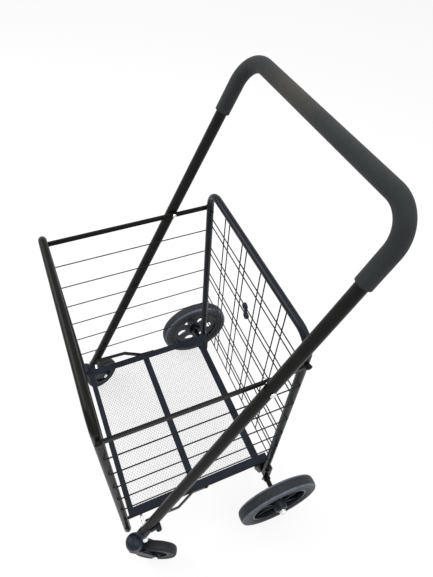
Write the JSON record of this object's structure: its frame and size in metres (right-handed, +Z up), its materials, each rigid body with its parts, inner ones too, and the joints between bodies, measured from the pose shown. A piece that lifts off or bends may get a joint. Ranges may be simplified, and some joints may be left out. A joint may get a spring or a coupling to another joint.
{
  "type": "folding shopping cart",
  "caption": "Folding utility shopping cart: an open wire basket with a mesh tray, a leaning padded handle, large rear wheels and swivelling front casters.",
  "frame": {"origin": "on the floor, at the centre of the cart's bounding box", "axes": "+Z up, casters towards -Y and handle towards +Y, +X on the right as seen from the casters' end"},
  "size_m": [0.632, 0.472, 0.9674],
  "materials": {
    "black_paint": "satin black powder coat",
    "wire_paint": "satin black powder coat on wire",
    "tray_paint": "fine-textured blue-black powder coat",
    "black_plastic": "moulded, slightly glossy edges",
    "tyre_rubber": "matt grey-black rubber",
    "grip_foam": "closed-cell foam, matt and slightly rough",
    "bright_steel": "bright zinc or chrome plating"
  },
  "bodies": {
    "rear_frame": {"rear_frame_tube": "black_paint", "rear_panel_wires": "wire_paint", "latch_clip": "black_plastic", "rear_axle": "black_paint", "rear_rail_bolt_right": "black_paint", "rear_rail_bolt_left": "black_paint", "rear_tray_bolt_right": "black_paint", "rear_tray_bolt_left": "black_paint", "axle_bracket_right": "black_paint", "axle_bracket_left": "black_paint", "axle_cap_right": "bright_steel", "axle_cap_left": "bright_steel"},
    "rear_wheel_right": {"rear_tyre_right": "tyre_rubber", "rear_rim_right": "black_plastic"},
    "rear_wheel_left": {"rear_tyre_left": "tyre_rubber", "rear_rim_left": "black_plastic"},
    "top_rails": {"top_rail_right": "black_paint", "top_rail_left": "black_paint"},
    "tray": {"tray_frame": "tray_paint", "tray_mesh_front": "tray_paint", "tray_mesh_rear": "tray_paint"},
    "front_frame": {"front_frame_tube": "black_paint", "front_panel_wires": "wire_paint", "front_rail_bolt_right": "black_paint", "front_rail_bolt_left": "black_paint", "front_tray_bolt_right": "black_paint", "front_tray_bolt_left": "black_paint"},
    "handle": {"handle_tube": "black_paint", "handle_grip": "grip_foam", "caster_housing_right": "black_plastic", "caster_housing_left": "black_plastic", "handle_bolt_right": "bright_steel", "handle_bolt_left": "bright_steel", "rest_stud_right": "bright_steel", "rest_stud_left": "bright_steel", "link_bolt_right": "black_paint", "link_bolt_left": "black_paint"},
    "links": {"link_right": "black_paint", "link_left": "black_paint"},
    "caster_fork_right": {"caster_fork_right": "black_plastic"},
    "caster_fork_left": {"caster_fork_left": "black_plastic"},
    "caster_wheel_right": {"caster_tyre_right": "tyre_rubber", "caster_hub_right": "black_plastic", "caster_axle_right": "bright_steel"},
    "caster_wheel_left": {"caster_tyre_left": "tyre_rubber", "caster_hub_left": "black_plastic", "caster_axle_left": "bright_steel"},
    "side_wires_1": {"side_wire_1_right": "wire_paint", "side_wire_1_left": "wire_paint"},
    "side_wires_2": {"side_wire_2_right": "wire_paint", "side_wire_2_left": "wire_paint"},
    "side_wires_3": {"side_wire_3_right": "wire_paint", "side_wire_3_left": "wire_paint"},
    "side_wires_4": {"side_wire_4_right": "wire_paint", "side_wire_4_left": "wire_paint"},
    "side_wires_5": {"side_wire_5_right": "wire_paint", "side_wire_5_left": "wire_paint"},
    "side_wires_6": {"side_wire_6_right": "wire_paint", "side_wire_6_left": "wire_paint"}
  },
  "joints": [
    {"name": "fold", "type": "hinge", "parent": "rear_frame", "child": "top_rails", "pos_m": [0, 0.134, 0.637], "axis": [-1, 0, 0], "range_deg": [0, 67]},
    {"name": "tray_fold", "type": "hinge", "parent": "rear_frame", "child": "tray", "pos_m": [0, 0.134, 0.1645], "axis": [-1, 0, 0], "range_deg": [0, 67]},
    {"name": "front_frame_fold", "type": "hinge", "parent": "top_rails", "child": "front_frame", "pos_m": [0, -0.222, 0.637], "axis": [1, 0, 0], "range_deg": [0, 67]},
    {"name": "handle_fold", "type": "hinge", "parent": "top_rails", "child": "handle", "pos_m": [0, 0.05341, 0.637], "axis": [1, 0, 0], "range_deg": [0, 77.05]},
    {"name": "link_fold", "type": "hinge", "parent": "tray", "child": "links", "pos_m": [0, -0.026, 0.1645], "axis": [1, 0, 0], "range_deg": [0, 110.08]},
    {"name": "side_wires_fold_1", "type": "hinge", "parent": "rear_frame", "child": "side_wires_1", "pos_m": [0, 0.134, 0.5695], "axis": [-1, 0, 0], "range_deg": [0, 67]},
    {"name": "side_wires_fold_2", "type": "hinge", "parent": "rear_frame", "child": "side_wires_2", "pos_m": [0, 0.134, 0.502], "axis": [-1, 0, 0], "range_deg": [0, 67]},
    {"name": "side_wires_fold_3", "type": "hinge", "parent": "rear_frame", "child": "side_wires_3", "pos_m": [0, 0.134, 0.4345], "axis": [-1, 0, 0], "range_deg": [0, 67]},
    {"name": "side_wires_fold_4", "type": "hinge", "parent": "rear_frame", "child": "side_wires_4", "pos_m": [0, 0.134, 0.367], "axis": [-1, 0, 0], "range_deg": [0, 67]},
    {"name": "side_wires_fold_5", "type": "hinge", "parent": "rear_frame", "child": "side_wires_5", "pos_m": [0, 0.134, 0.2995], "axis": [-1, 0, 0], "range_deg": [0, 67]},
    {"name": "side_wires_fold_6", "type": "hinge", "parent": "rear_frame", "child": "side_wires_6", "pos_m": [0, 0.134, 0.232], "axis": [-1, 0, 0], "range_deg": [0, 67]},
    {"name": "rear_wheel_spin_right", "type": "hinge", "parent": "rear_frame", "child": "rear_wheel_right", "pos_m": [0.281, 0.134, 0.102], "axis": [1, 0, 0], "continuous": true},
    {"name": "caster_swivel_right", "type": "hinge", "parent": "handle", "child": "caster_fork_right", "pos_m": [0.24, -0.21599, 0.103], "axis": [0, 0, 1], "continuous": true},
    {"name": "caster_spin_right", "type": "hinge", "parent": "caster_fork_right", "child": "caster_wheel_right", "pos_m": [0.25944, -0.1743, 0.05], "axis": [0.9063, -0.4226, 0], "continuous": true},
    {"name": "rear_wheel_spin_left", "type": "hinge", "parent": "rear_frame", "child": "rear_wheel_left", "pos_m": [-0.281, 0.134, 0.102], "axis": [1, 0, 0], "continuous": true},
    {"name": "caster_swivel_left", "type": "hinge", "parent": "handle", "child": "caster_fork_left", "pos_m": [-0.24, -0.21599, 0.103], "axis": [0, 0, 1], "continuous": true},
    {"name": "caster_spin_left", "type": "hinge", "parent": "caster_fork_left", "child": "caster_wheel_left", "pos_m": [-0.25944, -0.1743, 0.05], "axis": [0.9063, 0.4226, 0], "continuous": true}
  ],
  "couplings": [
    {"joint": "tray_fold", "follows": "fold", "ratio": 1},
    {"joint": "front_frame_fold", "follows": "fold", "ratio": 1},
    {"joint": "handle_fold", "follows": "fold", "ratio": 1.15},
    {"joint": "link_fold", "follows": "fold", "ratio": 1.643},
    {"joint": "side_wires_fold_1", "follows": "fold", "ratio": 1},
    {"joint": "side_wires_fold_2", "follows": "fold", "ratio": 1},
    {"joint": "side_wires_fold_3", "follows": "fold", "ratio": 1},
    {"joint": "side_wires_fold_4", "follows": "fold", "ratio": 1},
    {"joint": "side_wires_fold_5", "follows": "fold", "ratio": 1},
    {"joint": "side_wires_fold_6", "follows": "fold", "ratio": 1}
  ]
}
